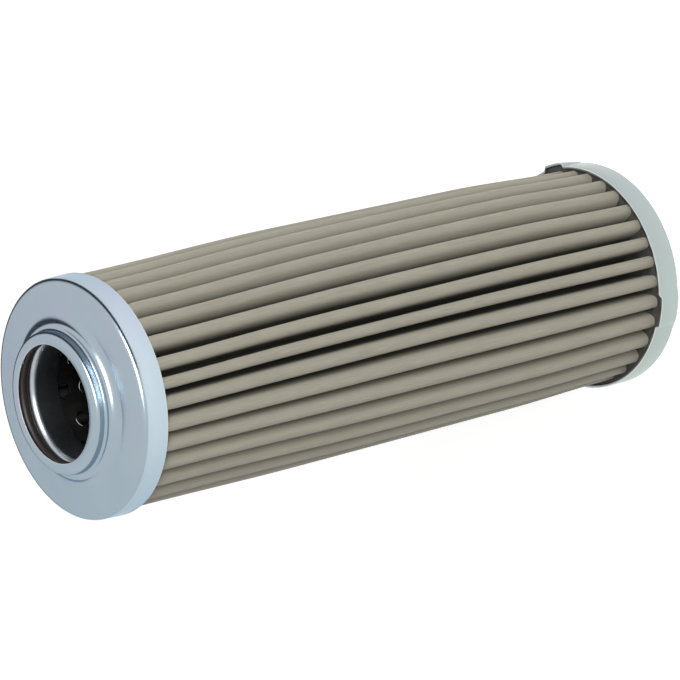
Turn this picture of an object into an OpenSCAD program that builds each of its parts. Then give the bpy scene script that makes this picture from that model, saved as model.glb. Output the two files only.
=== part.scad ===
// Hydraulic filter element: a pleated wire cloth pack on a perforated tube, between two drawn steel end caps.
// It stands on its closed end. The origin is the centre of that end's flat face, and +Z runs up through the neck.

/* [Overall] */
// Length between the flat faces of the two end caps
body_l = 205; // [120:1:400]

/* [End caps] */
// Thickness of the drawn sheet of both caps
sheet_t = 0.8; // [0.6:0.05:1]
// Outside diameter of the open cap's skirt
open_cap_d = 68; // [64:0.5:80]
// Height of the open cap's skirt, from its flat face
open_skirt_h = 8.1; // [6:0.1:14]
// Amount by which the closed cap's rim is wider than the open cap's skirt, across both sides
rim_extra_d = 1.6; // [0:0.2:6]
// Height of the closed cap's rim, from its flat face
closed_skirt_h = 8.6; // [6:0.1:14]
// Outside radius of the bend between a cap's face and its skirt
cap_bend_r = 1.3; // [1.1:0.1:2.5]

/* [Rim lugs] */
// Number of lugs pressed out of the closed cap's rim
lug_n = 3; // [2:1:6]
// Distance that a lug stands out at the rim's edge
lug_out = 1.3; // [0.9:0.1:2]
// Angle that one lug spans
lug_span = 17; // [8:1:30]
// Height of the closed cap's rim below a lug
lug_foot_h = 2; // [1.6:0.1:4]
// Direction of the first lug
lug_dir = 3; // [0:0.5:120]

/* [Neck] */
// Height of the neck above the open cap's face
neck_h = 5.4; // [4.8:0.1:9]
// Width of the step round the neck's base
base_w = 1.7; // [1.6:0.1:4]
// Height of the base step above the face
base_h = 2.1; // [1.8:0.1:2.4]
// Slope of the base step's side, from the face
base_slope = 60; // [50:1:80]
// Outside radius of the neck's convex bends
neck_bend_r = 1.3; // [1:0.1:1.4]
// Radius of the corner between the neck and its base step
step_corner_r = 0.4; // [0.2:0.05:0.6]
// Radius of the fillet between the base step and the face
base_fillet_r = 1.5; // [0.5:0.1:1.6]

/* [Spigot seal] */
// Diameter of the bore that the head's spigot enters, in the lip and in the sleeve
spigot_bore_d = 33.4; // [30:0.2:37]
// Width of the seal between the spigot and the neck's wall
seal_w = 2.6; // [2:0.1:2.7]
// Height of the seal along the axis, as the spigot squeezes it
seal_h = 3.1; // [2.8:0.1:3.2]
// Thickness of the sleeve behind the seal
sleeve_t = 0.8; // [0.6:0.05:0.9]
// Length of the sleeve below the open cap's face
sleeve_l = 8.3; // [5:0.1:16]
// Outside radius of the bend between the sleeve and its flange
sleeve_bend_r = 1.3; // [1:0.1:1.6]

/* [Core tube] */
// Wall of the core tube
core_t = 0.8; // [0.5:0.05:1.1]
// Diameter of the core tube's holes
core_hole_d = 4.8; // [3:0.1:6]
// Distance along the axis between one row of holes and the next
core_row_step = 4; // [4:0.5:16]
// Holes in one row
core_row_n = 6; // [4:1:9]
// Distance from the sleeve's end to the centres of the first row
core_first_row = 2; // [1:0.1:8]
// Plain length of the core tube above the closed cap
core_plain_l = 12; // [6:0.5:30]
// Direction of one hole in the first row
core_hole_dir = 20; // [0:1:60]

/* [Pleat pack] */
// Number of pleats
pleat_n = 33; // [26:1:37]
// Thickness of the outer wire mesh
outer_mesh_t = 0.3; // [0.2:0.02:0.34]
// Thickness of the filter cloth
filter_cloth_t = 0.3; // [0.2:0.02:0.34]
// Thickness of the inner drain mesh
drain_mesh_t = 0.3; // [0.2:0.02:0.34]
// Outside radius of a fold's crest
crest_r = 1.5; // [1.25:0.05:1.7]
// Radius of a fold's root, on the outside of the pack
root_r = 0.35; // [0.2:0.05:0.4]
// Direction of one crest
pleat_dir = 268; // [0:0.5:360]

/* [Seam clip] */
// Thickness of the seam clip
clip_t = 0.3; // [0.2:0.05:0.4]
// Depth of the seam clip along the pleat
clip_depth = 5; // [2.5:0.5:8]

/* [Potting] */
// Distance that a cap's edge stands past the potting in it
potting_drop = 1.2; // [0.5:0.1:3]
// Depth that the pleats stand in the potting
pleat_grip = 3.5; // [1:0.1:4]

/* [Clearances] */
// Gap between sheets, and between pieces that seat on each other
fit_gap = 0.05; // [0.03:0.01:0.08]
// Gap between the core tube and the roots of the pleats
core_gap = 0.15; // [0.05:0.05:0.5]
// Gap between the seam clip and the caps' skirts
skirt_gap = 0.15; // [0.1:0.05:0.6]

/* [Hidden] */
$fn = 160;
// Steps round one fold of a sheet, and sides of the small circles
FOLD_STEPS = 6;
HOLE_FN = 32;
SEAL_FN = 48;
// Length by which a cutting shape passes a surface
CUT = 1;
// Height inside the wall at which a lug's wedge starts below its foot
LUG_ROOT = 0.5;

// Open cap and neck, as outside radii and heights
open_r = open_cap_d / 2;
bore_r = spigot_bore_d / 2;
neck_in_r = bore_r + seal_w + 2 * fit_gap;
neck_r = neck_in_r + sheet_t;
base_r = neck_r + base_w;
neck_top = body_l + neck_h;
step_top = body_l + base_h;
lip_z = neck_top - sheet_t;

// Sleeve: its flange seats under the flat of the neck's step, short of the bend
flange_top = step_top - sheet_t - fit_gap;
flange_r = base_r - neck_bend_r - fit_gap;
sleeve_end = body_l - sleeve_l;

// Core tube: it stands on the closed cap, and slides over the sleeve up to the start of its bend
core_in_r = bore_r + sleeve_t + fit_gap;
core_r = core_in_r + core_t;
core_bottom = sheet_t + fit_gap;
core_top = flange_top - sleeve_bend_r - fit_gap;
first_row_z = sleeve_end - core_first_row;
row_n = 1 + floor((first_row_z - core_plain_l) / core_row_step);

// Closed cap
closed_r = open_r + rim_extra_d / 2;
lug_lean = lug_out / (closed_skirt_h - lug_foot_h);
// Angle that the sheet takes at each end of a lug
cheek_span = sheet_t / closed_r * 180 / PI;

// Pleat pack: depths of the three sheets, inwards from the pack's outside
outer_depth = 0;
filter_depth = outer_mesh_t + fit_gap;
drain_depth = filter_depth + filter_cloth_t + fit_gap;
pack_t = drain_depth + drain_mesh_t;
pack_r = open_r - sheet_t - skirt_gap - clip_t - fit_gap;
crest_at = pack_r - crest_r;
root_at = core_r + core_gap + pack_t + root_r;
pleat_step = 360 / pleat_n;
seam_pleat = round(pleat_n / 2);

// Potting in the caps, and the pleats' ends in it
pot_low = sheet_t + fit_gap;
pot_low_top = closed_skirt_h - potting_drop;
pot_high = body_l - sheet_t - fit_gap;
pot_high_bottom = body_l - open_skirt_h + potting_drop;
pack_bottom = pot_low_top - pleat_grip;
pack_top = pot_high_bottom + pleat_grip;

// Centre of a pleat's crest fold and of the root fold beside it
crest_c = [crest_at, 0];
root_c = root_at * [cos(pleat_step / 2), sin(pleat_step / 2)];
// Direction square to the pleat's straight side, which touches both folds
side_run = root_c - crest_c;
side_dir = atan2(side_run.y, side_run.x) - acos((crest_r + root_r) / norm(side_run));

function unit(v) = v / norm(v);
function left_of(v) = [-v.y, v.x];
function turned(p, a) = [p.x * cos(a) - p.y * sin(a), p.x * sin(a) + p.y * cos(a)];
// Turn from one run of a path to the next, positive to the left
function turn_at(path, i) =
    let (a = path[i] - path[i - 1], b = path[i + 1] - path[i]) atan2(cross(a, b), a * b);
// Length that a bend takes from the runs on each side of it
function bend_cut(path, bends, i) =
    (i == 0 || i == len(path) - 1) ? 0 : bends[i] * tan(abs(turn_at(path, i)) / 2);

// Straight run of sheet between two points on its middle line
module run(a, b, t) {
    n = left_of(unit(b - a)) * t / 2;
    polygon([a - n, b - n, b + n, a + n]);
}

// Bend of sheet of middle radius r at point i of a path
module bend(path, i, r, t) {
    turn = turn_at(path, i);
    inward = left_of(unit(path[i] - path[i - 1])) * sign(turn);
    start = path[i] - unit(path[i] - path[i - 1]) * r * tan(abs(turn) / 2);
    reach = 2 * (r + t);
    translate(start + inward * r)
        intersection() {
            difference() {
                circle(r = r + t / 2);
                if (r > t / 2)
                    circle(r = r - t / 2);
            }
            polygon([
                [0, 0], -inward * reach, turned(-inward, turn / 2) * reach, turned(-inward, turn) * reach
            ]);
        }
}

// Section of a formed sheet: straight runs along a path on the sheet's middle line, joined by bends
module sheet_section(path, bends, t) {
    last = len(path) - 1;
    for (i = [0:last - 1]) {
        along = unit(path[i + 1] - path[i]);
        start = path[i] + along * bend_cut(path, bends, i);
        end = path[i + 1] - along * bend_cut(path, bends, i + 1);
        run(start, end, t);
    }
    for (i = [1:last - 1])
        bend(path, i, bends[i], t);
}

module open_end_cap() {
    m = sheet_t / 2;
    foot_r = base_r + base_h / tan(base_slope);
    color("lightsteelblue")
        rotate_extrude()
            sheet_section(
                [
                    [bore_r, neck_top - m], [neck_r - m, neck_top - m], [neck_r - m, step_top - m],
                    [base_r - m, step_top - m], [foot_r - m, body_l - m], [open_r - m, body_l - m],
                    [open_r - m, body_l - open_skirt_h]
                ],
                [0, neck_bend_r - m, step_corner_r + m, neck_bend_r - m, base_fillet_r + m, cap_bend_r - m, 0],
                sheet_t
            );
}

// Turned solid with a rounded lower edge, from the axis out to radius r
module round_plug(r, low, high, edge_r) {
    rotate_extrude() {
        difference() {
            translate([0, low])
                square([r, high - low]);
            translate([r - edge_r, low - CUT])
                square([edge_r + CUT, edge_r + CUT]);
        }
        translate([r - edge_r, low + edge_r])
            intersection() {
                circle(r = edge_r);
                translate([0, -edge_r])
                    square(edge_r);
            }
    }
}

// Wedge that leans out through radius r at a lug's foot, from inside the cap's hollow
module lug_wedge(r, span, high) {
    low = lug_foot_h - LUG_ROOT;
    in_r = r - sheet_t - CUT;
    rotate([0, 0, -span / 2])
        rotate_extrude(angle = span)
            polygon([
                [in_r, low], [r - lug_lean * LUG_ROOT, low],
                [r + lug_lean * (high - lug_foot_h), high], [in_r, high]
            ]);
}

// The rim is drawn too high, its lugs are pressed out, and it is trimmed flat
module closed_end_cap() {
    in_r = closed_r - sheet_t;
    drawn_h = closed_skirt_h + CUT;
    color("lightsteelblue")
        difference() {
            union() {
                round_plug(closed_r, 0, drawn_h, cap_bend_r);
                for (i = [0:lug_n - 1])
                    rotate([0, 0, lug_dir + i * 360 / lug_n])
                        lug_wedge(closed_r, lug_span, drawn_h + CUT);
            }
            round_plug(in_r, sheet_t, drawn_h + 2 * CUT, cap_bend_r - sheet_t);
            for (i = [0:lug_n - 1])
                rotate([0, 0, lug_dir + i * 360 / lug_n])
                    lug_wedge(in_r, lug_span - 2 * cheek_span, drawn_h + 3 * CUT);
            translate([0, 0, closed_skirt_h])
                cylinder(r = closed_r + 2 * lug_out, h = 3 * CUT);
        }
}

// Rubber ring, flattened between the neck's wall and the spigot
module spigot_seal() {
    end_r = seal_w / 2;
    low = (flange_top + lip_z - seal_h) / 2;
    color("#2a2522")
        rotate_extrude()
            translate([bore_r + fit_gap + end_r, low]) {
                translate([0, end_r])
                    circle(r = end_r, $fn = SEAL_FN);
                translate([-end_r, end_r])
                    square([2 * end_r, seal_h - 2 * end_r]);
                translate([0, seal_h - end_r])
                    circle(r = end_r, $fn = SEAL_FN);
            }
}

module seal_sleeve() {
    m = sleeve_t / 2;
    color("silver")
        rotate_extrude()
            sheet_section(
                [[flange_r, flange_top - m], [bore_r + m, flange_top - m], [bore_r + m, sleeve_end]],
                [0, sleeve_bend_r - m, 0],
                sleeve_t
            );
}

// Every second row of holes stands half a hole's pitch further round
module core_tube() {
    color("dimgray")
        difference() {
            translate([0, 0, core_bottom])
                cylinder(r = core_r, h = core_top - core_bottom);
            translate([0, 0, core_bottom - CUT])
                cylinder(r = core_in_r, h = core_top - core_bottom + 2 * CUT);
            for (row = [0:row_n - 1], k = [0:core_row_n - 1])
                translate([0, 0, first_row_z - row * core_row_step])
                    rotate([0, 90, core_hole_dir + (k + (row % 2) / 2) * 360 / core_row_n])
                        translate([0, 0, core_in_r - CUT])
                            cylinder(d = core_hole_d, h = core_t + 2 * CUT, $fn = HOLE_FN);
        }
}

// Points round a fold from angle a to angle b
function fold(centre, r, a, b) =
    [for (i = [0:FOLD_STEPS]) let (at = a + (b - a) * i / FOLD_STEPS) centre + r * [cos(at), sin(at)]];
// One pleat's outline at a depth into the pack's thickness: round its crest, then round the root after it
function crest_points(depth) = fold(crest_c, crest_r - depth, -side_dir, side_dir);
function root_points(depth) = fold(root_c, root_r + depth, side_dir + 180, pleat_step - side_dir + 180);

// Area inside the pleated surface that lies at a depth into the pack's thickness
module pack_area(depth) {
    rotate(pleat_dir)
        polygon([
            for (k = [0:pleat_n - 1], p = concat(crest_points(depth), root_points(depth)))
                turned(p, k * pleat_step)
        ]);
}

// Folded sheet whose outer face lies at a depth into the pack's thickness
module pleated_sheet(depth, t) {
    translate([0, 0, pack_bottom])
        linear_extrude(pack_top - pack_bottom)
            difference() {
                pack_area(depth);
                pack_area(depth + t);
            }
}

module outer_mesh() {
    color("#a59e91")
        pleated_sheet(outer_depth, outer_mesh_t);
}

module filter_cloth() {
    color("#8c8678")
        pleated_sheet(filter_depth, filter_cloth_t);
}

module drain_mesh() {
    color("#77736a")
        pleated_sheet(drain_depth, drain_mesh_t);
}

// Section of the strip over one crest: its legs run along the pleat's sides
module clip_area(grow, reach) {
    points = crest_points(-grow);
    polygon(concat([[reach, points[0].y]], points, [[reach, points[FOLD_STEPS].y]]));
}

// Folded strip over one crest, from the potting at one end to the potting at the other
module seam_clip() {
    color("gainsboro")
        translate([0, 0, pot_low_top + fit_gap])
            linear_extrude(pot_high_bottom - pot_low_top - 2 * fit_gap)
                rotate(pleat_dir + seam_pleat * pleat_step)
                    difference() {
                        clip_area(fit_gap + clip_t, pack_r - clip_depth);
                        clip_area(fit_gap, pack_r - clip_depth - CUT);
                    }
}

// Ring of potting cast on a cap's face, from the core tube out to the cap's bend and skirt
module potting_ring(out_r, h) {
    difference() {
        round_plug(out_r, 0, h, cap_bend_r - sheet_t);
        translate([0, 0, -CUT])
            cylinder(r = core_r + fit_gap, h = h + 2 * CUT);
    }
}

// Groove in the potting, in which the pleats' ends stand
module pleat_groove(low, high) {
    translate([0, 0, low])
        linear_extrude(high - low)
            difference() {
                pack_area(-fit_gap);
                pack_area(pack_t + fit_gap);
            }
}

module potting_open_end() {
    color("#3b3a36")
        difference() {
            translate([0, 0, pot_high])
                mirror([0, 0, 1])
                    potting_ring(open_r - sheet_t - fit_gap, pot_high - pot_high_bottom);
            pleat_groove(pot_high_bottom - CUT, pack_top + fit_gap);
        }
}

module potting_closed_end() {
    color("#3b3a36")
        difference() {
            translate([0, 0, pot_low])
                potting_ring(closed_r - sheet_t - fit_gap, pot_low_top - pot_low);
            pleat_groove(pack_bottom - fit_gap, pot_low_top + CUT);
        }
}

open_end_cap();
closed_end_cap();
spigot_seal();
seal_sleeve();
core_tube();
outer_mesh();
filter_cloth();
drain_mesh();
seam_clip();
potting_open_end();
potting_closed_end();
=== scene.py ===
"""Dresses the hydraulic filter element.

Its pieces are formed steel caps, pleated wire cloth, a seal with its sleeve, a core tube and potting. The
element stands on its closed end. All lengths are in metres, and +Z runs up through the neck.
"""

import logging
import math
from dataclasses import dataclass, field
from enum import Enum
from typing import Sequence

import bmesh
import bpy
from mathutils import Matrix, Vector


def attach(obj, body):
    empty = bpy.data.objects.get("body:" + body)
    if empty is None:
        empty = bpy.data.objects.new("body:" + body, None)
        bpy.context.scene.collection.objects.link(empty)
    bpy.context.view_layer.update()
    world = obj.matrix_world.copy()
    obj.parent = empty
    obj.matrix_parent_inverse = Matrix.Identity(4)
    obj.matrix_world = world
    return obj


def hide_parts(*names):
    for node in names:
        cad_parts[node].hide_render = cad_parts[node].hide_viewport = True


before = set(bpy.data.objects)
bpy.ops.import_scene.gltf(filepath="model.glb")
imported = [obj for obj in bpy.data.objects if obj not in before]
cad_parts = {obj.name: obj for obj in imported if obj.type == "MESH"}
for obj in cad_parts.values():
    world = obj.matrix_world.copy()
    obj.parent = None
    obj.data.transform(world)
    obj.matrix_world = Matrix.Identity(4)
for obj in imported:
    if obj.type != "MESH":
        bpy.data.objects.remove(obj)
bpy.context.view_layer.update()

MM = 0.001
# Distance under which points of a spun shape become one
MERGE = 1e-6
# Distance that counts as none between heights, between points of a small shape and along an edge
TINY = 1e-7
# Distance from a fold's corner to where its bend begins, as a share of the bend's radius
FOLD_SHARE = 0.97
LOG = logging.getLogger("filter")
BODY = "root"
Z_AXIS = Vector((0.0, 0.0, 1.0))

Colour = tuple[float, float, float]
Material = bpy.types.Material
Socket = bpy.types.NodeSocket


class Slot(Enum):
    """Material slots of the record."""

    PLATED_STEEL = "plated_steel"
    BRIGHT_STEEL = "bright_steel"
    DARK_STEEL = "dark_steel"
    SEAL_RUBBER = "seal_rubber"
    WIRE_CLOTH = "wire_cloth"
    FINE_CLOTH = "fine_cloth"
    POTTING = "potting"


@dataclass(frozen=True)
class Corner:
    """One corner of a section that is spun round the axis. A drawn cap's section is its outer face.

    Args:
        r: Distance from the axis.
        z: Height.
        bend: Radius of the bend at the corner.
    """

    r: float
    z: float
    bend: float = 0.0


class NodeTree:
    """Short way to write a material's nodes."""

    def __init__(self, name: str) -> None:
        """Starts a material with an empty tree.

        Args:
            name: Name of the material.
        """
        self.material = bpy.data.materials.new(name)
        self.material.use_nodes = True
        self.tree = self.material.node_tree
        self.tree.nodes.clear()
        self.output = self.tree.nodes.new("ShaderNodeOutputMaterial")
        self.shader = self.tree.nodes.new("ShaderNodeBsdfPrincipled")
        self.tree.links.new(self.shader.outputs["BSDF"], self.output.inputs["Surface"])

    @classmethod
    def of_world(cls, world: bpy.types.World) -> "NodeTree":
        """Returns the empty tree of a world.

        Args:
            world: The world, whose nodes are replaced.
        """
        made = cls.__new__(cls)
        world.use_nodes = True
        made.tree = world.node_tree
        made.tree.nodes.clear()
        made.output = made.tree.nodes.new("ShaderNodeOutputWorld")
        return made

    def node(self, kind: str, inputs: dict | None = None, **settings: object) -> bpy.types.Node:
        """Adds a node.

        Args:
            kind: Type of the node.
            inputs: Input names or numbers, with a value or a socket to link for each.
            settings: Properties of the node.

        Returns:
            The new node.
        """
        made = self.tree.nodes.new(kind)
        for key, value in settings.items():
            setattr(made, key, value)
        for key, value in (inputs or {}).items():
            self.put(made.inputs[key], value)
        return made

    def put(self, socket: Socket, value: object) -> None:
        """Links a socket to an input, or sets the input's value.

        Args:
            socket: The input.
            value: A socket to link, or a plain value.
        """
        if isinstance(value, Socket):
            self.tree.links.new(value, socket)
        else:
            socket.default_value = value

    def set(self, name: str, value: object) -> None:
        """Links or sets one of the shader's inputs.

        Args:
            name: Name of the input.
            value: A socket to link, or a plain value.
        """
        self.put(self.shader.inputs[name], value)

    def math(self, operation: str, a: object, b: object = 0.0) -> Socket:
        """Adds a math node.

        Args:
            operation: The operation's name.
            a: First value or socket.
            b: Second value or socket.

        Returns:
            The node's output.
        """
        return self.node("ShaderNodeMath", {0: a, 1: b}, operation=operation).outputs[0]

    def share(self, first: Socket, second: Socket, part: float) -> Socket:
        """Mixes two values.

        Args:
            first: First value.
            second: Second value.
            part: Share of the first.

        Returns:
            The mixed value.
        """
        rest = self.math("MULTIPLY", second, 1.0 - part)
        return self.math("ADD", self.math("MULTIPLY", first, part), rest)

    def noise(self, where: Socket, scale: float, detail: float = 2.0) -> Socket:
        """Adds a noise texture.

        Args:
            where: Coordinates.
            scale: Scale in cells to the metre.
            detail: Octaves of the noise.

        Returns:
            The noise's factor.
        """
        inputs = {"Vector": where, "Scale": scale, "Detail": detail}
        return self.node("ShaderNodeTexNoise", inputs).outputs["Fac"]

    def ramp(self, factor: Socket, stops: Sequence[tuple[float, Colour]]) -> Socket:
        """Adds a colour ramp.

        Args:
            factor: Where to read the ramp.
            stops: Places and colours.

        Returns:
            The ramp's colour.
        """
        ramp = self.node("ShaderNodeValToRGB", {"Fac": factor})
        elements = ramp.color_ramp.elements
        while len(elements) < len(stops):
            elements.new(0.5)
        for element, (place, colour) in zip(elements, stops):
            element.position = place
            element.color = (*colour, 1.0)
        return ramp.outputs["Color"]

    def span(self, value: Socket, low: float, high: float, start: float = 0.0, end: float = 1.0) -> Socket:
        """Maps a value onto a range, and holds it there.

        Args:
            value: The value.
            low: Result at the start.
            high: Result at the end.
            start: Value that gives the low result.
            end: Value that gives the high result.

        Returns:
            The mapped value.
        """
        inputs = {"Value": value, "From Min": start, "From Max": end, "To Min": low, "To Max": high}
        return self.node("ShaderNodeMapRange", inputs).outputs["Result"]

    def bump(
        self, height: Socket, depth: float, strength: float = 1.0, under: Socket | None = None
    ) -> Socket:
        """Adds a bump.

        Args:
            height: Height from 0 to 1.
            depth: Depth of the relief in metres.
            strength: Strength of the bump.
            under: Normal of a bump that this one lies on.

        Returns:
            The bumped normal.
        """
        inputs = {"Height": height, "Distance": depth, "Strength": strength}
        if under is not None:
            inputs["Normal"] = under
        return self.node("ShaderNodeBump", inputs).outputs["Normal"]

    def object_place(self) -> Socket:
        """Returns the piece's own coordinates, in metres."""
        return self.node("ShaderNodeTexCoord").outputs["Object"]


@dataclass(frozen=True)
class ZincPlate:
    """Zinc plated sheet: satin, bluish, with faint violet and green tints of its passivation.

    The tint drifts from the low to the high tint across the cap, along +X, and clouds break it up.
    """

    name: str = "zinc_plate"
    low: Colour = (0.40, 0.49, 0.56)
    middle: Colour = (0.425, 0.51, 0.57)
    high: Colour = (0.435, 0.49, 0.58)
    grazing: Colour = (0.70, 0.78, 0.86)
    smooth: float = 0.18
    rough: float = 0.28
    stops: tuple[float, float, float] = (0.3, 0.5, 0.68)
    drift: float = 7.0

    def build(self) -> Material:
        """Returns the material."""
        t = NodeTree(self.name)
        place = t.object_place()
        across = t.node("ShaderNodeSeparateXYZ", {"Vector": place}).outputs["X"]
        drift = t.math("MULTIPLY", across, self.drift)
        cloud = t.math("ADD", t.noise(place, scale=45.0, detail=3.0), drift)
        tints = (self.low, self.middle, self.high)
        t.set("Base Color", t.ramp(cloud, list(zip(self.stops, tints))))
        t.set("Metallic", 1.0)
        t.set("Specular Tint", (*self.grazing, 1.0))
        grain = t.noise(place, scale=900.0, detail=3.0)
        t.set("Roughness", t.span(grain, self.smooth, self.rough))
        waves = t.noise(place, scale=120.0, detail=2.0)
        t.set("Normal", t.bump(waves, depth=0.08 * MM, strength=0.5))
        return t.material


@dataclass(frozen=True)
class CutEdge:
    """Bare sheared edge of the plated sheet, brighter than its faces."""

    name: str = "cut_edge"
    colour: Colour = (0.62, 0.66, 0.66)

    def build(self) -> Material:
        """Returns the material."""
        t = NodeTree(self.name)
        t.set("Base Color", (*self.colour, 1.0))
        t.set("Metallic", 1.0)
        grain = t.noise(t.object_place(), scale=2500.0, detail=2.0)
        t.set("Roughness", t.span(grain, low=0.3, high=0.5))
        return t.material


@dataclass(frozen=True)
class BareSteel:
    """Drawn or perforated steel, bright or dark."""

    name: str
    light: Colour
    dark: Colour
    smooth: float
    rough: float

    def build(self) -> Material:
        """Returns the material."""
        t = NodeTree(self.name)
        place = t.object_place()
        stain = t.noise(place, scale=120.0, detail=4.0)
        t.set("Base Color", t.ramp(stain, [(0.35, self.dark), (0.65, self.light)]))
        t.set("Metallic", 1.0)
        grain = t.noise(place, scale=700.0, detail=3.0)
        t.set("Roughness", t.span(grain, self.smooth, self.rough))
        scratches = t.noise(place, scale=2600.0, detail=2.0)
        t.set("Normal", t.bump(scratches, depth=0.01 * MM, strength=0.5))
        return t.material


@dataclass(frozen=True)
class WireCloth:
    """Fine woven steel wire, with its weave along the sheet's own cloth coordinates.

    These are the distance along the folded sheet, the height, and how deep in its fold a place lies, from 0
    on the crest to 1 at the root. Painted shade darkens the colour down in its folds, fully so from
    fold_shade_full on.
    """

    name: str
    wire: Colour
    shade: Colour
    pitch: float
    metallic: float = 0.1
    fold_shade: float = 0.15
    fold_shade_from: float = 0.15
    fold_shade_full: float = 0.42
    thread_share: float = 0.7
    weave_share: float = 0.2
    weave_depth: float = 0.2

    def build(self) -> Material:
        """Returns the material."""
        t = NodeTree(self.name)
        cloth = t.node("ShaderNodeAttribute", attribute_name="cloth").outputs["Vector"]
        split = t.node("ShaderNodeSeparateXYZ", {"Vector": cloth})
        turns = 2.0 * math.pi / self.pitch
        warp = t.math("SINE", t.math("MULTIPLY", split.outputs["X"], turns))
        weft = t.math("SINE", t.math("MULTIPLY", split.outputs["Y"], turns))
        weave = t.span(t.math("MULTIPLY", warp, weft), low=0.2, high=0.8)
        drawn_out = t.node("ShaderNodeMapping", {"Vector": cloth, "Scale": (1.0, 0.12, 1.0)}).outputs[0]
        thread = t.noise(drawn_out, scale=1500.0, detail=2.0)
        cloud = t.noise(cloth, scale=90.0, detail=3.0)
        tone = t.share(weave, t.share(thread, cloud, self.thread_share), self.weave_share)
        colour = t.ramp(tone, [(0.25, self.shade), (0.75, self.wire)])
        # Painted shade: the colour darkens with depth in the fold, standing in for the shade between the
        # pleats.
        painted_fold_shade = t.span(split.outputs["Z"], 1.0, self.fold_shade, self.fold_shade_from, self.fold_shade_full)
        fold_shaded_colour = t.node("ShaderNodeVectorMath", {0: colour, "Scale": painted_fold_shade}, operation="SCALE")
        t.set("Base Color", fold_shaded_colour.outputs["Vector"])
        t.set("Metallic", self.metallic)
        t.set("Diffuse Roughness", 1.0)
        t.set("Roughness", t.span(thread, low=0.5, high=0.68))
        relief = t.bump(weave, self.pitch * self.weave_depth, strength=0.6)
        t.set("Normal", t.bump(thread, depth=0.03 * MM, strength=0.5, under=relief))
        return t.material


@dataclass(frozen=True)
class Rubber:
    """Black-brown nitrile rubber."""

    name: str = "nitrile"
    colour: Colour = (0.022, 0.018, 0.015)

    def build(self) -> Material:
        """Returns the material."""
        t = NodeTree(self.name)
        place = t.object_place()
        t.set("Base Color", (*self.colour, 1.0))
        t.set("Roughness", t.span(t.noise(place, scale=500.0, detail=3.0), low=0.38, high=0.55))
        grain = t.noise(place, scale=3000.0, detail=2.0)
        t.set("Normal", t.bump(grain, depth=0.01 * MM, strength=0.4))
        return t.material


@dataclass(frozen=True)
class Compound:
    """Cured potting compound: dark, matte, with small pits and a slight sheen."""

    name: str = "potting"
    light: Colour = (0.105, 0.102, 0.090)
    dark: Colour = (0.055, 0.054, 0.048)

    def build(self) -> Material:
        """Returns the material."""
        t = NodeTree(self.name)
        place = t.object_place()
        stain = t.noise(place, scale=260.0, detail=4.0)
        t.set("Base Color", t.ramp(stain, [(0.35, self.dark), (0.7, self.light)]))
        t.set("Roughness", t.span(t.noise(place, scale=400.0, detail=2.0), low=0.45, high=0.7))
        pits = t.noise(place, scale=420.0, detail=4.0)
        t.set("Normal", t.bump(pits, depth=0.3 * MM, strength=0.6))
        return t.material


def finish(kind: type, **values: object) -> Material:
    """Returns a dataclass field whose value is a finish, built when the dataclass is.

    Args:
        kind: Class of the finish.
        values: Values of its fields.
    """
    return field(default_factory=lambda: kind(**values).build())


@dataclass
class Palette:
    """All finishes, built once."""

    zinc: Material = finish(ZincPlate)
    pale_zinc: Material = finish(
        ZincPlate, name="pale_zinc", low=(0.37, 0.425, 0.415), middle=(0.37, 0.42, 0.415),
        high=(0.37, 0.41, 0.42), grazing=(0.88, 0.9, 0.87)
    )
    edge: Material = finish(CutEdge)
    bright: Material = finish(
        BareSteel, name="bright_steel", light=(0.60, 0.62, 0.64), dark=(0.48, 0.50, 0.53),
        smooth=0.12, rough=0.22
    )
    sleeve: Material = finish(
        BareSteel, name="sleeve_steel", light=(0.52, 0.56, 0.60), dark=(0.44, 0.48, 0.53),
        smooth=0.26, rough=0.34
    )
    dark: Material = finish(
        BareSteel, name="dark_steel", light=(0.16, 0.155, 0.15), dark=(0.08, 0.08, 0.08),
        smooth=0.3, rough=0.5
    )
    outer_cloth: Material = finish(
        WireCloth, name="outer_cloth", wire=(0.46, 0.43, 0.35), shade=(0.245, 0.23, 0.185), pitch=0.34 * MM
    )
    fine_cloth: Material = finish(
        WireCloth, name="fine_cloth", wire=(0.40, 0.38, 0.33), shade=(0.30, 0.28, 0.24), pitch=0.2 * MM,
        metallic=0.0
    )
    # Painted shade: the inner sheet's colours are near black, standing in for the shade seen through the
    # core tube's holes.
    drain_cloth: Material = finish(
        WireCloth, name="drain_cloth", wire=(0.08, 0.08, 0.07), shade=(0.03, 0.03, 0.028), pitch=0.6 * MM
    )
    rubber: Material = finish(Rubber)
    potting: Material = finish(Compound)


def smooth_step(x: float) -> float:
    """Returns a smooth rise from 0 to 1 as x goes from 0 to 1."""
    x = min(max(x, 0.0), 1.0)
    return x * x * (3.0 - 2.0 * x)


def finish_piece(
    name: str, bm: bmesh.types.BMesh, nodes: Sequence[str],
    materials: Sequence[Material], crease_deg: float = 40.0
) -> bpy.types.Object:
    """Turns a bmesh into a dressed piece that rides on the body.

    Args:
        name: Name of the piece.
        bm: The shape, in place.
        nodes: Solids that the piece stands for.
        materials: Materials, in the order of the faces' material numbers.
        crease_deg: Angle over which an edge stays sharp.

    Returns:
        The piece.
    """
    mesh = bpy.data.meshes.new(name)
    bm.to_mesh(mesh)
    bm.free()
    for polygon in mesh.polygons:
        polygon.use_smooth = True
    mesh.set_sharp_from_angle(angle=math.radians(crease_deg))
    for material in materials:
        mesh.materials.append(material)
    piece = bpy.data.objects.new(name, mesh)
    bpy.context.scene.collection.objects.link(piece)
    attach(piece, BODY)
    if nodes:
        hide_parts(*nodes)
    LOG.info("%s: %d faces", name, len(mesh.polygons))
    return piece


def chain(bm: bmesh.types.BMesh, points: Sequence[Sequence[float]]) -> list[bmesh.types.BMVert]:
    """Draws edges from point to point.

    Args:
        bm: Where the edges go.
        points: The points in order.

    Returns:
        A vert for each point.
    """
    verts = [bm.verts.new(point) for point in points]
    for pair in zip(verts, verts[1:]):
        bm.edges.new(pair)
    return verts


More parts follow.
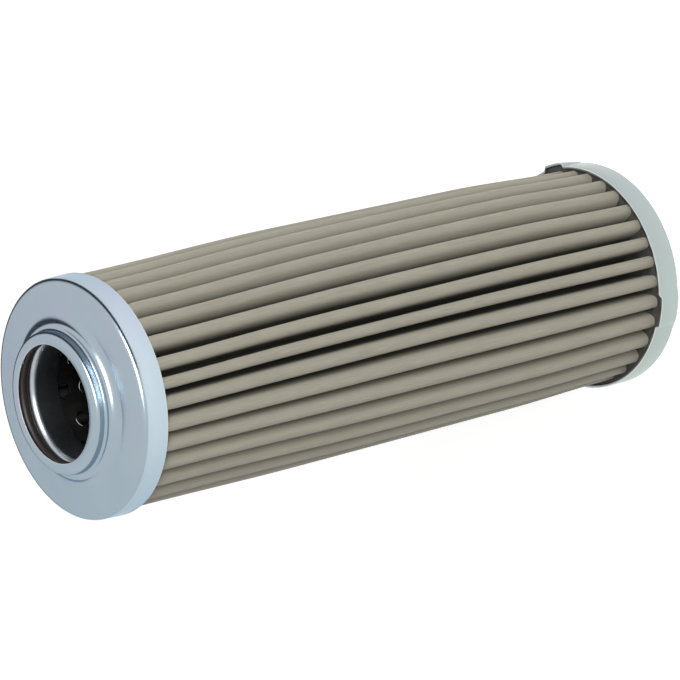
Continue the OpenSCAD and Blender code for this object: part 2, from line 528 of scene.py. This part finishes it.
def round_corners(
    bm: bmesh.types.BMesh, corners: Sequence[bmesh.types.BMVert], offset: float, segments: int
) -> None:
    """Bevels corners of a chain of edges.

    Args:
        bm: Holds the chain.
        corners: Verts at the corners.
        offset: Distance from a corner to where its bend begins.
        segments: Faces to a bend.
    """
    bmesh.ops.bevel(
        bm, geom=corners, affect="VERTICES", offset=offset, segments=segments, profile=0.5, material=-1
    )


def extrude_up(bm: bmesh.types.BMesh, height: float, steps: int) -> None:
    """Draws everything in the bmesh up along the axis.

    Args:
        bm: Holds edges that lie at one height.
        height: Height of the walls.
        steps: Steps along the axis.
    """
    rise = Vector((0.0, 0.0, height / steps))
    rail = bm.edges[:]
    for _ in range(steps):
        made = bmesh.ops.extrude_edge_only(bm, edges=rail)["geom"]
        bmesh.ops.translate(bm, verts=[g for g in made if isinstance(g, bmesh.types.BMVert)], vec=rise)
        edges = [g for g in made if isinstance(g, bmesh.types.BMEdge)]
        rail = [edge for edge in edges if abs(edge.verts[0].co.z - edge.verts[1].co.z) < TINY]
    bmesh.ops.recalc_face_normals(bm, faces=bm.faces[:])


def faces_outward(bm: bmesh.types.BMesh) -> bool:
    """Returns whether walls that stand round the axis face away from it."""
    flat = Vector((1.0, 1.0, 0.0))
    return sum(face.normal.dot(face.calc_center_median() * flat) for face in bm.faces) > 0.0


def spun(
    corners: Sequence[Corner], steps: int, closed: bool = False, segments: int = 6
) -> bmesh.types.BMesh:
    """Spins a section, with its corners bevelled round, once round the axis.

    Args:
        corners: The section's corners in order.
        steps: Steps round the axis.
        closed: Whether the last corner joins the first.
        segments: Faces to a bend.

    Returns:
        The shape, with its seam and its pole closed.
    """
    bm = bmesh.new()
    verts = chain(bm, [(corner.r, 0.0, corner.z) for corner in corners])
    if closed:
        bm.edges.new((verts[-1], verts[0]))
    for vert, corner in zip(verts, corners):
        if corner.bend <= 0.0:
            continue
        ends = [edge.other_vert(vert).co - vert.co for edge in vert.link_edges]
        offset = corner.bend * math.tan((math.pi - ends[0].angle(ends[1])) / 2.0)
        round_corners(bm, [vert], offset, segments)
    bmesh.ops.spin(
        bm, geom=bm.verts[:] + bm.edges[:], cent=(0, 0, 0), axis=Z_AXIS, dvec=(0, 0, 0), angle=math.tau,
        steps=steps, use_merge=True, use_duplicate=False
    )
    bmesh.ops.remove_doubles(bm, verts=bm.verts[:], dist=MERGE)
    bmesh.ops.dissolve_degenerate(bm, dist=TINY, edges=bm.edges[:])
    bmesh.ops.recalc_face_normals(bm, faces=bm.faces[:])
    return bm


@dataclass
class SheetSizes:
    """Sizes that the drawn caps share. An edge sharper than cut_edge_deg is a cut one."""

    thickness: float = 0.8 * MM
    body_length: float = 205.0 * MM
    cut_edge_bevel: float = 0.22 * MM
    cut_edge_deg: float = 75.0


@dataclass
class OpenCap:
    """Drawn cap of the open end: face, skirt and two-step neck, from one sheet."""

    palette: Palette
    sheet: SheetSizes = field(default_factory=SheetSizes)
    skirt_height: float = 8.1 * MM
    radius: float = 34.1 * MM
    flare: float = 0.35 * MM
    face_bend: float = 1.8 * MM
    neck_radius: float = 20.2 * MM
    neck_height: float = 5.4 * MM
    step_radius: float = 21.9 * MM
    step_height: float = 2.1 * MM
    step_slope_deg: float = 60.0
    neck_bend: float = 1.3 * MM
    step_corner: float = 0.8 * MM
    foot_fillet: float = 2.7 * MM
    bore_radius: float = 16.7 * MM
    steps: int = 192

    def corners(self) -> list[Corner]:
        """Returns the outer face's section, from the mouth to the skirt's edge."""
        face = self.sheet.body_length
        foot = self.step_radius + self.step_height / math.tan(math.radians(self.step_slope_deg))
        return [
            Corner(self.bore_radius, face + self.neck_height),
            Corner(self.neck_radius, face + self.neck_height, self.neck_bend),
            Corner(self.neck_radius, face + self.step_height, self.step_corner),
            Corner(self.step_radius, face + self.step_height, self.neck_bend),
            Corner(foot, face, self.foot_fillet),
            Corner(self.radius, face, self.face_bend),
            Corner(self.radius + self.flare, face - self.skirt_height),
        ]

    def build(self) -> bpy.types.Object:
        """Returns the cap."""
        bm = spun(self.corners(), self.steps)
        materials = [self.palette.zinc, self.palette.edge]
        return formed_sheet("open_cap", bm, "open_end_cap", self.sheet, materials)


def formed_sheet(
    name: str, bm: bmesh.types.BMesh, node: str, sheet: SheetSizes, materials: Sequence[Material]
) -> bpy.types.Object:
    """Gives a spun outer face its wall, and bevels the wall's cut edges.

    Args:
        name: Name of the piece.
        bm: The outer face.
        node: Solid that the piece stands for.
        sheet: Sizes of the sheet.
        materials: Finishes of the faces and of the cut edges.

    Returns:
        The piece.
    """
    outward = bm.faces[:]
    middle = Vector((0.0, 0.0, sheet.body_length / 2.0))
    score = sum(
        (face.calc_center_median() - middle).dot(face.normal) * face.calc_area() for face in outward
    )
    if score < 0.0:
        bmesh.ops.reverse_faces(bm, faces=outward)
    bmesh.ops.solidify(bm, geom=outward, thickness=sheet.thickness)
    bm.normal_update()
    cut = math.radians(sheet.cut_edge_deg)
    rims = [edge for edge in bm.edges if edge.is_manifold and edge.calc_face_angle() > cut]
    bmesh.ops.bevel(
        bm, geom=rims, affect="EDGES", offset=sheet.cut_edge_bevel, segments=2, profile=0.5, material=1
    )
    return finish_piece(name, bm, [node], materials)


@dataclass
class ClosedCap:
    """Drawn cap of the closed end, with lugs pressed out of its rim.

    lugs_deg holds each lug's direction and width. A lug's ends are lug_end_deg wide at the rim's edge, and
    lug_fade_deg wider than that at the face.
    """

    palette: Palette
    sheet: SheetSizes = field(default_factory=SheetSizes)
    radius: float = 35.3 * MM
    face_bend: float = 0.9 * MM
    face_run_in: float = 2.6 * MM
    rim_height: float = 8.6 * MM
    lugs_deg: tuple[tuple[float, float], ...] = ((-1.3, 13.0), (123.0, 16.0), (243.0, 16.0))
    lug_out: float = 1.3 * MM
    lug_out_at_face: float = 0.45 * MM
    lug_end_deg: float = 1.4
    lug_fade_deg: float = 5.0
    steps: int = 480

    def corners(self) -> list[Corner]:
        """Returns the outer face's section, from the axis to the rim's edge."""
        return [
            Corner(0.0, 0.0),
            Corner(self.radius * 0.5, 0.0),
            Corner(self.radius - self.face_run_in, 0.0),
            Corner(self.radius, 0.0, self.face_bend),
            Corner(self.radius, self.rim_height / 2.0),
            Corner(self.radius, self.rim_height),
        ]

    def lug_rise(self, angle_deg: float, high: float) -> float:
        """Returns how far a lug has risen, from 0 off the lugs to 1 on them.

        Args:
            angle_deg: Direction of the place.
            high: Its height as a share of the rim's. A lug's ends fade out towards the face.

        Returns:
            The share of the lug's rise.
        """
        inside = max(
            span / 2.0 - abs((angle_deg - lug + 180.0) % 360.0 - 180.0) for lug, span in self.lugs_deg
        )
        return smooth_step(inside / (self.lug_end_deg + self.lug_fade_deg * (1.0 - high)) + 0.5)

    def press_lugs(self, bm: bmesh.types.BMesh, radius: float, run_in: float) -> None:
        """Pushes a ring outwards at the lugs, the more the nearer to the rim's edge.

        Args:
            bm: The ring.
            radius: Its outer radius.
            run_in: Width inside that radius over which the push begins.
        """
        for vert in bm.verts:
            out = Vector((vert.co.x, vert.co.y, 0.0))
            bent = (out.length - radius) / run_in + 1.0
            if bent <= 0.0:
                continue
            high = vert.co.z / self.rim_height
            rise = self.lug_rise(math.degrees(math.atan2(vert.co.y, vert.co.x)), high)
            lean = self.lug_out_at_face + (self.lug_out - self.lug_out_at_face) * high
            vert.co += out.normalized() * rise * lean * smooth_step(bent)

    def build(self) -> bpy.types.Object:
        """Returns the cap."""
        bm = spun(self.corners(), self.steps)
        self.press_lugs(bm, self.radius, self.face_run_in)
        materials = [self.palette.pale_zinc, self.palette.edge]
        return formed_sheet("closed_cap", bm, "closed_end_cap", self.sheet, materials)


@dataclass
class SpigotSeal:
    """Rubber ring behind the lip of the neck, with bends whose radius is bend_share of its width."""

    palette: Palette
    inner_radius: float = 16.75 * MM
    outer_radius: float = 19.35 * MM
    height: float = 3.1 * MM
    middle: float = 207.925 * MM
    bend_share: float = 0.499
    steps: int = 128

    def build(self) -> bpy.types.Object:
        """Returns the ring."""
        low, high = self.middle - self.height / 2.0, self.middle + self.height / 2.0
        bend = (self.outer_radius - self.inner_radius) * self.bend_share
        bm = spun(
            [
                Corner(self.inner_radius, low, bend), Corner(self.outer_radius, low, bend),
                Corner(self.outer_radius, high, bend), Corner(self.inner_radius, high, bend),
            ],
            self.steps, closed=True, segments=8,
        )
        return finish_piece("seal_ring", bm, ["spigot_seal"], [self.palette.rubber])


@dataclass
class SealSleeve:
    """Flanged bush that holds the seal and enters the core tube."""

    palette: Palette
    bore_radius: float = 16.7 * MM
    thickness: float = 0.8 * MM
    flange_radius: float = 20.5 * MM
    flange_top: float = 206.25 * MM
    end: float = 196.7 * MM
    bend: float = 2.4 * MM
    lip: float = 0.25 * MM
    steps: int = 160

    def build(self) -> bpy.types.Object:
        """Returns the sleeve."""
        t, lip = self.thickness, self.lip
        bm = spun(
            [
                Corner(self.flange_radius, self.flange_top, lip),
                Corner(self.bore_radius, self.flange_top, self.bend),
                Corner(self.bore_radius, self.end, lip),
                Corner(self.bore_radius + t, self.end, lip),
                Corner(self.bore_radius + t, self.flange_top - t, self.bend - t),
                Corner(self.flange_radius, self.flange_top - t, lip),
            ],
            self.steps, closed=True, segments=8,
        )
        return finish_piece("sleeve", bm, ["seal_sleeve"], [self.palette.sleeve])


@dataclass
class CoreTube:
    """Perforated support tube: the solid itself, with the rims that the punch raised round its holes."""

    palette: Palette
    inner_radius: float = 17.55 * MM
    hole_radius: float = 2.4 * MM
    first_row: float = 194.7 * MM
    row_step: float = 4.0 * MM
    row_count: int = 46
    holes_in_row: int = 6
    direction_deg: float = 20.0
    burr_radius: float = 0.13 * MM
    burr_sides: int = 5
    burr_steps: int = 20

    def burr(self) -> bmesh.types.BMesh:
        """Returns the raised rim of the hole that would lie at the origin's height along +X."""
        bm = bmesh.new()
        made = bmesh.ops.create_circle(
            bm, cap_ends=False, radius=self.burr_radius, segments=self.burr_sides
        )["verts"]
        bmesh.ops.translate(bm, verts=made, vec=(0.0, self.hole_radius, 0.0))
        bmesh.ops.spin(
            bm, geom=made + bm.edges[:], cent=(0, 0, 0), axis=(1, 0, 0), dvec=(0, 0, 0), angle=math.tau,
            steps=self.burr_steps, use_merge=True, use_duplicate=False
        )
        bmesh.ops.remove_doubles(bm, verts=bm.verts[:], dist=TINY)
        bmesh.ops.recalc_face_normals(bm, faces=bm.faces[:])
        for vert in bm.verts:
            vert.co.x += math.sqrt(self.inner_radius**2 - vert.co.y**2)
        return bm

    def build(self) -> bpy.types.Object:
        """Returns the holes' rims, and gives the tube its finish."""
        dress(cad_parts["core_tube"], self.palette.dark)
        one = bpy.data.meshes.new("hole_rim")
        source = self.burr()
        source.to_mesh(one)
        source.free()
        bm = bmesh.new()
        for row in range(self.row_count):
            for k in range(self.holes_in_row):
                turn = self.direction_deg + (k + (row % 2) / 2.0) * 360.0 / self.holes_in_row
                height = Matrix.Translation((0.0, 0.0, self.first_row - row * self.row_step))
                place = height @ Matrix.Rotation(math.radians(turn), 4, "Z")
                one.transform(place)
                bm.from_mesh(one)
                one.transform(place.inverted())
        bpy.data.meshes.remove(one)
        # Partly painted glint: the raised rims are real, but their bright steel on the dark tube stands in
        # for glints.
        return finish_piece("core_hole_rims", bm, [], [self.palette.bright])


def dress(node: bpy.types.Object, material: Material) -> None:
    """Gives a solid of the frame a better material.

    Args:
        node: The solid.
        material: Its finish.
    """
    node.data.materials.clear()
    node.data.materials.append(material)


@dataclass
class PleatPack:
    """Three sheets folded together, and the way that the real pack bows and wanders.

    The crests stand out by bulge in the middle and by closed_bulge and open_bulge at the caps, and by more
    of it on the +X side than on the other. The turns, in degrees, were measured in the photograph at each of
    the heights, for the pleats that face the camera. seen_steps and hidden_steps hold a sheet's steps along
    the axis and its faces to a quarter of a fold.
    """

    palette: Palette
    pleats: int = 33
    direction_deg: float = 268.0
    radius: float = 32.7 * MM
    crest_radius: float = 1.8 * MM
    root_inside: float = 18.5 * MM
    root_radius: float = 0.35 * MM
    sheet: float = 0.3 * MM
    gap: float = 0.05 * MM
    bottom: float = 3.9 * MM
    top: float = 201.6 * MM
    closed_rim: float = 8.6 * MM
    open_rim: float = 196.9 * MM
    bulge: float = 1.75 * MM
    closed_bulge: float = 0.85 * MM
    open_bulge: float = 0.7 * MM
    upper_bulge: float = 0.35
    lower_bulge: float = 0.14
    closed_rise: float = 45.0 * MM
    open_rise: float = 70.0 * MM
    open_start: float = 1.5 * MM
    open_start_run: float = 2.0 * MM
    still_width: float = 1.0 * MM
    bulge_limit: float = 1.1
    wander_deg: float = 0.5
    wander_phase: tuple[float, float] = (2.4, 1.3)
    wall_from: float = 5.0 * MM
    wall_cuts: int = 3
    seen_steps: tuple[int, int] = (50, 4)
    hidden_steps: tuple[int, int] = (30, 2)
    heights: tuple[float, ...] = (10.0 * MM, 70.0 * MM, 110.0 * MM, 150.0 * MM, 195.0 * MM)
    turns: tuple[tuple[float, ...], ...] = (
        (1.6, 1.0, 1.3, 0.3, 1.1, 1.1, 1.2, 1.1, 0.3, -0.2, -2.6, -5.1, -7.0),
        (1.7, 1.6, 1.7, 1.2, 1.4, 1.1, 1.8, 2.2, 0.8, -0.1, -2.3, -3.5, -5.7),
        (1.0, 0.4, 0.9, 1.0, 1.0, 0.5, 1.5, 2.1, 1.0, 0.2, -1.4, -2.9, -5.0),
        (-1.1, -1.4, -0.8, -0.3, -0.1, -0.2, 0.7, 1.3, 0.5, 0.3, -0.3, -1.4, -3.1),
        (-3.6, -2.7, -2.6, -1.6, -1.4, -2.3, -1.0, 0.0, -0.3, -0.2, -0.3, -1.2, -3.8),
    )
    known: dict[tuple[int, int], float] = field(default_factory=dict)

    def crest_rise(self, z: float) -> float:
        """Returns how far the crests stand out past the solid's, at a height."""
        from_open = smooth_step((self.open_rim - z) / self.open_rise)
        from_closed = smooth_step((z - self.closed_rim) / self.closed_rise)
        full = self.closed_bulge + (self.bulge - self.closed_bulge) * from_closed
        near = self.open_bulge * smooth_step((self.open_rim + self.open_start - z) / self.open_start_run)
        return near + (full - self.open_bulge) * from_open

    def row_turn(self, pleat: int, row: int) -> float:
        """Returns the turn in degrees of a pleat at one of the measured heights.

        The turns of the pleats that face the camera were measured, and the others close the ring evenly.
        """
        measured = self.turns[row]
        side = len(measured) // 2
        if abs(pleat) <= side:
            return measured[side - pleat]
        behind = (pleat - side) % self.pleats / (self.pleats - 2 * side)
        phase = self.wander_phase[0] * pleat + self.wander_phase[1] * row
        wave = self.wander_deg * math.sin(phase) * math.sin(math.pi * behind)
        return measured[0] + (measured[-1] - measured[0]) * behind + wave

    def pleat_turn(self, pleat: int, z: float) -> float:
        """Returns a pleat's turn in degrees at a height, on a smooth curve through the measured ones."""
        pleat = (pleat + self.pleats // 2) % self.pleats - self.pleats // 2
        key = (pleat, round(z / TINY))
        if key not in self.known:
            last = len(self.heights) - 1
            i = max(0, min(last - 1, sum(z >= h for h in self.heights) - 1))
            t = min(max((z - self.heights[i]) / (self.heights[i + 1] - self.heights[i]), 0.0), 1.0)
            before, low, high, after = (
                self.row_turn(pleat, min(max(n, 0), last)) for n in (i - 1, i, i + 1, i + 2)
            )
            start, end = (high - before) / 2.0, (after - low) / 2.0
            self.known[key] = (
                low + start * t + (3.0 * (high - low) - 2.0 * start - end) * t**2
                + (2.0 * (low - high) + start + end) * t**3
            )
        return self.known[key]

    def settle(self, bm: bmesh.types.BMesh) -> None:
        """Moves the even pack's points to where the real pack's lie."""
        root = self.root_inside + self.still_width
        pitch = 360.0 / self.pleats
        for vert in bm.verts:
            r = math.hypot(vert.co.x, vert.co.y)
            angle = math.degrees(math.atan2(vert.co.y, vert.co.x))
            off = (angle - self.direction_deg) / pitch
            pleat = math.floor(off + 0.5)
            side = off - pleat
            beside = pleat + (1 if side > 0.0 else -1)
            blend = smooth_step(2.0 * abs(side)) * 0.5
            z = vert.co.z
            turn = self.pleat_turn(pleat, z) * (1.0 - blend) + self.pleat_turn(beside, z) * blend
            a = math.radians(angle + turn)
            more = self.upper_bulge if math.cos(a) > 0.0 else self.lower_bulge
            rise = self.crest_rise(z) * (1.0 + more * math.cos(a))
            r += rise * min(max((r - root) / (self.radius - root), 0.0), self.bulge_limit)
            vert.co.x, vert.co.y = r * math.cos(a), r * math.sin(a)

    def pleat_corners(self, depth: float) -> list[tuple[float, float]]:
        """Returns the corners of one fold of a sheet whose face lies at a depth, as X and Y."""
        half = math.pi / self.pleats
        stack = 3.0 * self.sheet + 2.0 * self.gap
        crest = (self.radius - depth, self.crest_radius - depth)
        x, y = self.root_inside + stack - depth, -(self.root_radius + depth)
        root = (x * math.cos(half) - y * math.sin(half), x * math.sin(half) + y * math.cos(half))
        return [(root[0], -root[1]), (crest[0], -crest[1]), crest, root]

    def folded(self, depth: float, levels: int, fold_faces: int) -> bmesh.types.BMesh:
        """Makes one sheet as a surface.

        Args:
            depth: Depth of the surface into the pack's thickness.
            levels: Steps along the axis.
            fold_faces: Faces to a quarter of a fold.

        Returns:
            The surface, with its cloth coordinates.
        """
        bm = bmesh.new()
        crests, roots = [], []
        for k in range(self.pleats):
            turn = Matrix.Rotation(math.radians(self.direction_deg + k * 360.0 / self.pleats), 3, "Z")
            verts = chain(bm, [turn @ Vector((x, y, self.bottom)) for x, y in self.pleat_corners(depth)])
            roots += [verts[0], verts[3]]
            crests += verts[1:3]
        for pair in zip(roots[1::2], roots[2::2] + roots[:1]):
            bm.edges.new(pair)
        for verts, radius in ((roots, self.root_radius + depth), (crests, self.crest_radius - depth)):
            round_corners(bm, verts, radius * FOLD_SHARE, fold_faces)
        walls = [edge for edge in bm.edges if edge.calc_length() > self.wall_from]
        bmesh.ops.subdivide_edges(bm, edges=walls, cuts=self.wall_cuts)
        self.number_cloth(bm)
        extrude_up(bm, self.top - self.bottom, levels)
        layer = bm.verts.layers.float_vector["cloth"]
        for vert in bm.verts:
            below_crest = self.radius - depth - math.hypot(vert.co.x, vert.co.y)
            in_fold = below_crest / (self.radius - self.root_inside)
            vert[layer] = Vector((vert[layer].x, vert.co.z, in_fold))
        self.settle(bm)
        return bm

    def number_cloth(self, bm: bmesh.types.BMesh) -> None:
        """Writes each point's distance along the folded sheet, starting behind the pack."""
        layer = bm.verts.layers.float_vector.new("cloth")
        start = max(bm.verts, key=lambda v: v.co.y)
        vert, edge, run = start, start.link_edges[0], 0.0
        for _ in range(len(bm.verts)):
            vert[layer] = Vector((run, 0.0, 0.0))
            run += edge.calc_length()
            vert = edge.other_vert(vert)
            if vert is start or len(vert.link_edges) < 2:
                break
            edge = next(other for other in vert.link_edges if other is not edge)

    def sheet_piece(
        self, name: str, node: str, order: int, material: Material, steps: tuple[int, int]
    ) -> bpy.types.Object:
        """Makes one of the three sheets.

        Args:
            name: Name of the piece.
            node: Solid that the piece stands for.
            order: Its place in the pack, from 0 outside.
            material: Its finish.
            steps: Steps along the axis, and faces to a quarter of a fold.

        Returns:
            The piece.
        """
        bm = self.folded(order * (self.sheet + self.gap), *steps)
        if not faces_outward(bm):
            bmesh.ops.reverse_faces(bm, faces=bm.faces[:])
        bmesh.ops.solidify(bm, geom=bm.faces[:], thickness=self.sheet)
        return finish_piece(name, bm, [node], [material], crease_deg=60.0)

    def build(self) -> list[bpy.types.Object]:
        """Returns the three sheets, from the outside in."""
        p, seen, hidden = self.palette, self.seen_steps, self.hidden_steps
        return [
            self.sheet_piece("outer_cloth", "outer_mesh", 0, p.outer_cloth, seen),
            self.sheet_piece("middle_cloth", "filter_cloth", 1, p.fine_cloth, hidden),
            self.sheet_piece("inner_cloth", "drain_mesh", 2, p.drain_cloth, hidden),
        ]


@dataclass
class SeamClip:
    """Folded strip over the crest behind the pack."""

    pack: PleatPack
    thickness: float = 0.3 * MM
    depth: float = 5.0 * MM
    low: float = 7.45 * MM
    high: float = 198.05 * MM
    steps: int = 48
    segments: int = 6

    def build(self) -> bpy.types.Object:
        """Returns the clip, bowed with its pleat."""
        pack = self.pack
        pitch = 360.0 / pack.pleats
        turn = pack.direction_deg + (pack.pleats + 1) // 2 * pitch
        half, out, deep = pack.crest_radius + pack.gap, pack.radius + pack.gap, pack.radius - self.depth
        bm = bmesh.new()
        places = ((deep, -half), (out, -half), (out, half), (deep, half))
        verts = chain(bm, [(x, y, self.low) for x, y in places])
        round_corners(bm, verts[1:3], half * FOLD_SHARE, self.segments)
        bmesh.ops.rotate(
            bm, verts=bm.verts[:], cent=(0, 0, 0), matrix=Matrix.Rotation(math.radians(turn), 3, "Z")
        )
        extrude_up(bm, self.high - self.low, self.steps)
        pack.settle(bm)
        # The thickness goes in behind the faces, and the clip's has to lie outside
        if faces_outward(bm):
            bmesh.ops.reverse_faces(bm, faces=bm.faces[:])
        bmesh.ops.solidify(bm, geom=bm.faces[:], thickness=self.thickness)
        bmesh.ops.recalc_face_normals(bm, faces=bm.faces[:])
        return finish_piece("side_clip", bm, ["seam_clip"], [pack.palette.bright])


@dataclass
class Potting:
    """Compound in one cap: a ring from the core tube to the skirt, which creeps up both.

    base is the height of its side in the cap, surface that of its open side, and lugs the cap whose lugs it
    fills, if there are any.
    """

    palette: Palette
    name: str
    node: str
    inner_radius: float
    outer_radius: float
    base: float
    surface: float
    creep: float = 0.35 * MM
    creep_width: float = 1.2 * MM
    creep_bend: float = 0.8 * MM
    cap_bend: float = 0.5 * MM
    lugs: ClosedCap | None = None
    steps: int = 360

    def build(self) -> bpy.types.Object:
        """Returns the ring."""
        up = math.copysign(1.0, self.surface - self.base)
        bm = spun(
            [
                Corner(self.inner_radius, self.base), Corner(self.outer_radius, self.base, self.cap_bend),
                Corner(self.outer_radius, self.surface + up * self.creep),
                Corner(self.outer_radius - self.creep_width, self.surface, self.creep_bend),
                Corner(self.inner_radius + self.creep_width, self.surface, self.creep_bend),
                Corner(self.inner_radius, self.surface + up * self.creep),
            ],
            self.steps, closed=True, segments=4,
        )
        if self.lugs:
            self.lugs.press_lugs(bm, self.outer_radius, self.creep_width)
        return finish_piece(
            self.name, bm, [self.node], [self.palette.potting], crease_deg=50.0
        )


def seen_as_backdrop(t: NodeTree) -> Socket:
    """Returns 1 for rays from the camera and for those that metal or glass sends on, and 0 for light."""
    path = t.node("ShaderNodeLightPath").outputs
    mirrored = t.math("MAXIMUM", path["Is Glossy Ray"], path["Is Transmission Ray"])
    return t.math("MAXIMUM", path["Is Camera Ray"], mirrored)


@dataclass(frozen=True)
class Lamp:
    """One soft area lamp, aimed at the middle of the element."""

    name: str
    place: tuple[float, float, float]
    size: tuple[float, float]
    power: float
    colour: Colour = (1.0, 1.0, 1.0)

    def build(self, aim: Vector) -> None:
        """Adds the lamp.

        Args:
            aim: The point that it shines on.
        """
        data = bpy.data.lights.new(self.name, "AREA")
        data.shape = "RECTANGLE"
        data.size, data.size_y = self.size
        data.energy = self.power
        data.color = self.colour
        lamp = bpy.data.objects.new(self.name, data)
        lamp.location = self.place
        lamp.rotation_euler = (aim - Vector(self.place)).to_track_quat("-Z", "Y").to_euler()
        bpy.context.scene.collection.objects.link(lamp)


@dataclass
class Studio:
    """Camera, floor, lamps and world.

    Metal mirrors a dark gap low down in one direction. It begins and is full at the cosines in gap_ends, and
    goes from the full dark at gap_fade of gap_height to none at gap_height, which is the sine of an angle.
    """

    focal_px: float = 3200.0
    picture_px: float = 680.0
    sensor: float = 36.0
    camera_place: tuple[float, float, float] = (-0.0014, -0.7382, 0.6940)
    elevation_deg: float = 38.48
    roll_deg: float = 103.63
    clip_start: float = 0.05
    aim: Vector = field(default_factory=lambda: Vector((0.0, 0.0, 0.105)))
    sky: float = 0.22
    sky_colour: Colour = (0.94, 0.97, 1.0)
    floor_reach: float = 0.6
    floor_colour: Colour = (0.66, 0.66, 0.65)
    floor_roughness: float = 0.9
    floor_glow: float = 0.78
    glow_colour: Colour = (1.0, 1.0, 0.98)
    gap_direction_deg: float = 10.0
    gap_ends: tuple[float, float] = (-0.1, 0.2)
    gap_height: float = 0.38
    gap_fade: float = 0.6
    gap_shade: float = 0.85
    mirrored_shade: float = 0.1
    lamps: tuple[Lamp, ...] = (
        Lamp("front", place=(0.28, -0.96, 0.86), size=(1.05, 0.25), power=13.8),
    )

    def camera(self) -> None:
        """Adds the camera at the photograph's viewing angle."""
        data = bpy.data.cameras.new("camera")
        data.sensor_width = self.sensor
        data.lens = self.sensor * self.focal_px / self.picture_px
        data.clip_start = self.clip_start
        camera = bpy.data.objects.new("camera", data)
        down = Matrix.Rotation(math.radians(90.0 - self.elevation_deg), 4, "X")
        roll = Matrix.Rotation(math.radians(-self.roll_deg), 4, "Z")
        camera.matrix_world = Matrix.Translation(self.camera_place) @ down @ roll
        bpy.context.scene.collection.objects.link(camera)
        bpy.context.scene.camera = camera

    def floor(self) -> None:
        """Adds the pale floor, which the camera sees as white under the element's soft shadow."""
        bm = bmesh.new()
        bmesh.ops.create_grid(bm, x_segments=1, y_segments=1, size=self.floor_reach)
        mesh = bpy.data.meshes.new("floor")
        bm.to_mesh(mesh)
        bm.free()
        t = NodeTree("pale_floor")
        t.set("Base Color", (*self.floor_colour, 1.0))
        t.set("Roughness", self.floor_roughness)
        t.set("Emission Color", (*self.glow_colour, 1.0))
        t.set("Emission Strength", t.math("MULTIPLY", seen_as_backdrop(t), self.floor_glow))
        mesh.materials.append(t.material)
        floor = bpy.data.objects.new("floor", mesh)
        bpy.context.scene.collection.objects.link(floor)

    def gap(self, t: NodeTree) -> Socket:
        """Returns how dark metal sees the studio: a little, but most in the gap low down on one side."""
        direction = t.node("ShaderNodeTexCoord").outputs["Generated"]
        angle = math.radians(self.gap_direction_deg)
        inputs = {0: direction, 1: (math.cos(angle), math.sin(angle), 0.0)}
        toward = t.node("ShaderNodeVectorMath", inputs, operation="DOT_PRODUCT").outputs["Value"]
        height = t.node("ShaderNodeSeparateXYZ", {"Vector": direction}).outputs["Z"]
        side = t.span(toward, 0.0, 1.0, *self.gap_ends)
        low = t.span(height, 0.0, 1.0, self.gap_height, self.gap_height * self.gap_fade)
        mirrored = t.node("ShaderNodeLightPath").outputs["Is Glossy Ray"]
        dark = t.math("MULTIPLY", t.math("MULTIPLY", side, low), self.gap_shade)
        return t.math("MULTIPLY", t.math("ADD", dark, self.mirrored_shade), mirrored)

    def world(self) -> None:
        """Sets the even studio light, which the camera sees as white, also in metal."""
        world = bpy.data.worlds.new("studio")
        t = NodeTree.of_world(world)
        light = t.node("ShaderNodeBackground", {"Color": (*self.sky_colour, 1.0), "Strength": self.sky})
        seen = t.math("SUBTRACT", 1.0, self.gap(t))
        white = t.node("ShaderNodeBackground", {"Color": (1.0, 1.0, 1.0, 1.0), "Strength": seen})
        inputs = {0: seen_as_backdrop(t), 1: light.outputs[0], 2: white.outputs[0]}
        mix = t.node("ShaderNodeMixShader", inputs)
        t.put(t.output.inputs["Surface"], mix.outputs[0])
        bpy.context.scene.world = world

    def build(self) -> None:
        """Adds everything round the element."""
        self.camera()
        self.floor()
        self.world()
        for lamp in self.lamps:
            lamp.build(self.aim)
        bpy.context.scene.view_settings.view_transform = "Standard"


def main() -> None:
    """Builds the studio and every piece, in order."""
    logging.basicConfig(level=logging.INFO, format="%(name)s %(message)s")
    Studio().build()
    palette = Palette()
    OpenCap(palette).build()
    closed_cap = ClosedCap(palette)
    closed_cap.build()
    SpigotSeal(palette).build()
    SealSleeve(palette).build()
    CoreTube(palette).build()
    pack = PleatPack(palette)
    pack.build()
    SeamClip(pack).build()
    Potting(
        palette, "potting_closed", "potting_closed_end", inner_radius=18.4 * MM, outer_radius=34.4 * MM,
        base=0.9 * MM, surface=7.4 * MM, lugs=closed_cap
    ).build()
    Potting(
        palette, "potting_open", "potting_open_end", inner_radius=18.4 * MM, outer_radius=33.15 * MM,
        base=204.1 * MM, surface=198.1 * MM
    ).build()


if __name__ == "__main__":
    main()
